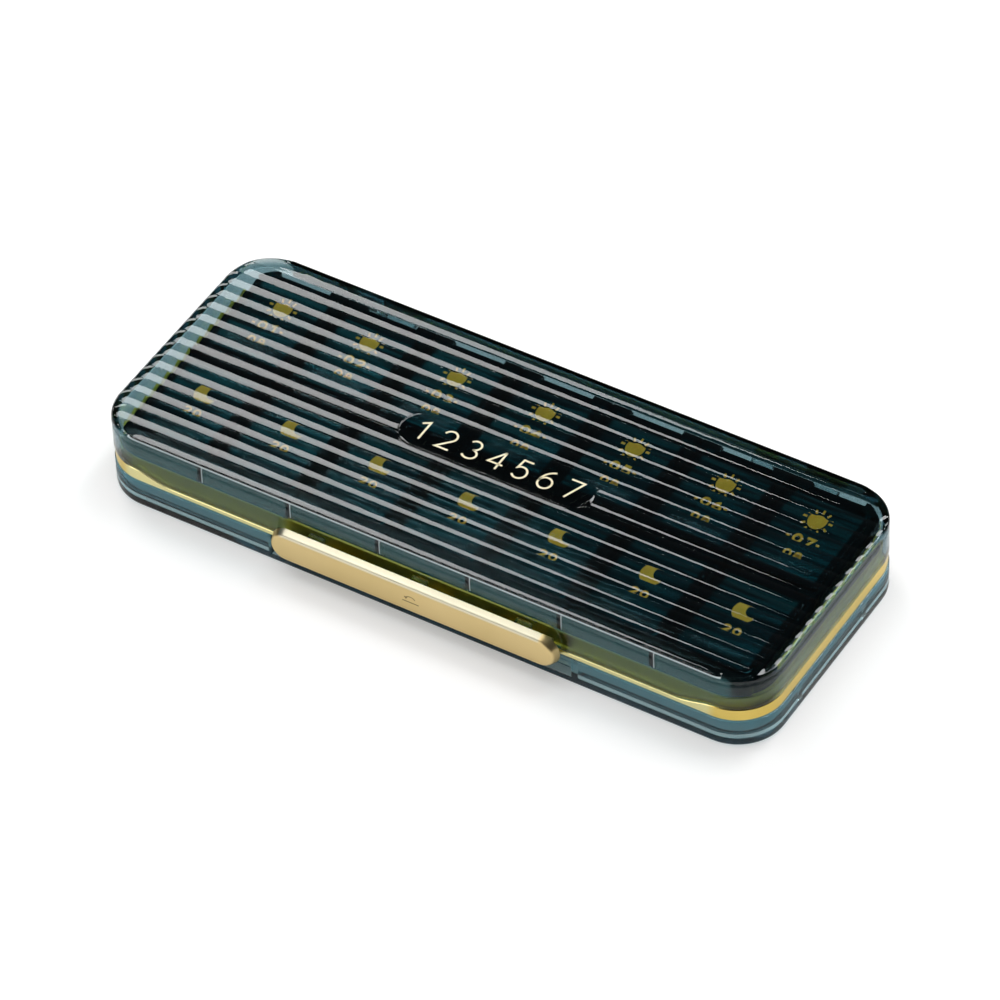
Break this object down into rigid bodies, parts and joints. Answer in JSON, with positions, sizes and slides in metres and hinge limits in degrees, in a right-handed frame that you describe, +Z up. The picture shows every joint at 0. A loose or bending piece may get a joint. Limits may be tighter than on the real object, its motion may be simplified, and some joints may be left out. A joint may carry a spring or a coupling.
{
  "type": "travel pill organiser",
  "caption": "Clear teal travel pill box: ribbed hinged lid and tub on a gold collar, flip latch bar, and a row of day boxes with morning and evening lids.",
  "frame": {"origin": "middle of the flat underside, on the surface that the closed case rests on", "axes": "+X along the case's length, to the right as seen from the latch; +Y towards the hinge side; +Z up through the lid"},
  "size_m": [0.18, 0.078, 0.0223],
  "materials": {
    "clear_teal": "clear polished teal plastic, see-through",
    "dark_teal": "clear dark teal plastic, polished",
    "bright_gold": "bright gold plated",
    "satin_gold": "champagne gold, fine satin",
    "steel": "plain drawn steel pin"
  },
  "bodies": {
    "base": {"base_tray": "clear_teal", "trim_collar": "bright_gold", "hinge_pin_left": "steel", "hinge_pin_right": "steel", "day_box_1": "dark_teal", "day_box_2": "dark_teal", "day_box_3": "dark_teal", "day_box_4": "dark_teal", "day_box_5": "dark_teal", "day_box_6": "dark_teal", "day_box_7": "dark_teal"},
    "lid": {"outer_lid": "clear_teal", "latch_pin": "steel"},
    "latch": {"latch_bar": "satin_gold"},
    "morning_1": {"morning_lid_1": "dark_teal"},
    "evening_1": {"evening_lid_1": "dark_teal"},
    "morning_2": {"morning_lid_2": "dark_teal"},
    "evening_2": {"evening_lid_2": "dark_teal"},
    "morning_3": {"morning_lid_3": "dark_teal"},
    "evening_3": {"evening_lid_3": "dark_teal"},
    "morning_4": {"morning_lid_4": "dark_teal"},
    "evening_4": {"evening_lid_4": "dark_teal"},
    "morning_5": {"morning_lid_5": "dark_teal"},
    "evening_5": {"evening_lid_5": "dark_teal"},
    "morning_6": {"morning_lid_6": "dark_teal"},
    "evening_6": {"evening_lid_6": "dark_teal"},
    "morning_7": {"morning_lid_7": "dark_teal"},
    "evening_7": {"evening_lid_7": "dark_teal"}
  },
  "joints": [
    {"name": "lid_hinge", "type": "hinge", "parent": "base", "child": "lid", "pos_m": [0, 0.0374, 0.01], "axis": [-1, 0, 0], "range_deg": [0, 115]},
    {"name": "latch_hinge", "type": "hinge", "parent": "lid", "child": "latch", "pos_m": [0, -0.0363, 0.0126], "axis": [-1, 0, 0], "range_deg": [0, 50]},
    {"name": "morning_hinge_1", "type": "hinge", "parent": "base", "child": "morning_1", "pos_m": [-0.0732, 0.0313, 0.0172], "axis": [-1, 0, 0], "range_deg": [0, 95]},
    {"name": "evening_hinge_1", "type": "hinge", "parent": "base", "child": "evening_1", "pos_m": [-0.0732, 0.0006, 0.0172], "axis": [-1, 0, 0], "range_deg": [0, 95]},
    {"name": "morning_hinge_2", "type": "hinge", "parent": "base", "child": "morning_2", "pos_m": [-0.0488, 0.0313, 0.0172], "axis": [-1, 0, 0], "range_deg": [0, 95]},
    {"name": "evening_hinge_2", "type": "hinge", "parent": "base", "child": "evening_2", "pos_m": [-0.0488, 0.0006, 0.0172], "axis": [-1, 0, 0], "range_deg": [0, 95]},
    {"name": "morning_hinge_3", "type": "hinge", "parent": "base", "child": "morning_3", "pos_m": [-0.0244, 0.0313, 0.0172], "axis": [-1, 0, 0], "range_deg": [0, 95]},
    {"name": "evening_hinge_3", "type": "hinge", "parent": "base", "child": "evening_3", "pos_m": [-0.0244, 0.0006, 0.0172], "axis": [-1, 0, 0], "range_deg": [0, 95]},
    {"name": "morning_hinge_4", "type": "hinge", "parent": "base", "child": "morning_4", "pos_m": [0, 0.0313, 0.0172], "axis": [-1, 0, 0], "range_deg": [0, 95]},
    {"name": "evening_hinge_4", "type": "hinge", "parent": "base", "child": "evening_4", "pos_m": [0, 0.0006, 0.0172], "axis": [-1, 0, 0], "range_deg": [0, 95]},
    {"name": "morning_hinge_5", "type": "hinge", "parent": "base", "child": "morning_5", "pos_m": [0.0244, 0.0313, 0.0172], "axis": [-1, 0, 0], "range_deg": [0, 95]},
    {"name": "evening_hinge_5", "type": "hinge", "parent": "base", "child": "evening_5", "pos_m": [0.0244, 0.0006, 0.0172], "axis": [-1, 0, 0], "range_deg": [0, 95]},
    {"name": "morning_hinge_6", "type": "hinge", "parent": "base", "child": "morning_6", "pos_m": [0.0488, 0.0313, 0.0172], "axis": [-1, 0, 0], "range_deg": [0, 95]},
    {"name": "evening_hinge_6", "type": "hinge", "parent": "base", "child": "evening_6", "pos_m": [0.0488, 0.0006, 0.0172], "axis": [-1, 0, 0], "range_deg": [0, 95]},
    {"name": "morning_hinge_7", "type": "hinge", "parent": "base", "child": "morning_7", "pos_m": [0.0732, 0.0313, 0.0172], "axis": [-1, 0, 0], "range_deg": [0, 95]},
    {"name": "evening_hinge_7", "type": "hinge", "parent": "base", "child": "evening_7", "pos_m": [0.0732, 0.0006, 0.0172], "axis": [-1, 0, 0], "range_deg": [0, 95]}
  ],
  "couplings": [
    {"joint": "morning_hinge_1", "follows": "lid_hinge", "ratio": 0.8},
    {"joint": "evening_hinge_1", "follows": "lid_hinge", "ratio": 0.8},
    {"joint": "morning_hinge_2", "follows": "lid_hinge", "ratio": 0.8},
    {"joint": "evening_hinge_2", "follows": "lid_hinge", "ratio": 0.8},
    {"joint": "morning_hinge_3", "follows": "lid_hinge", "ratio": 0.8},
    {"joint": "evening_hinge_3", "follows": "lid_hinge", "ratio": 0.8},
    {"joint": "morning_hinge_4", "follows": "lid_hinge", "ratio": 0.8},
    {"joint": "evening_hinge_4", "follows": "lid_hinge", "ratio": 0.8},
    {"joint": "morning_hinge_5", "follows": "lid_hinge", "ratio": 0.8},
    {"joint": "evening_hinge_5", "follows": "lid_hinge", "ratio": 0.8},
    {"joint": "morning_hinge_6", "follows": "lid_hinge", "ratio": 0.8},
    {"joint": "evening_hinge_6", "follows": "lid_hinge", "ratio": 0.8},
    {"joint": "morning_hinge_7", "follows": "lid_hinge", "ratio": 0.8},
    {"joint": "evening_hinge_7", "follows": "lid_hinge", "ratio": 0.8}
  ]
}
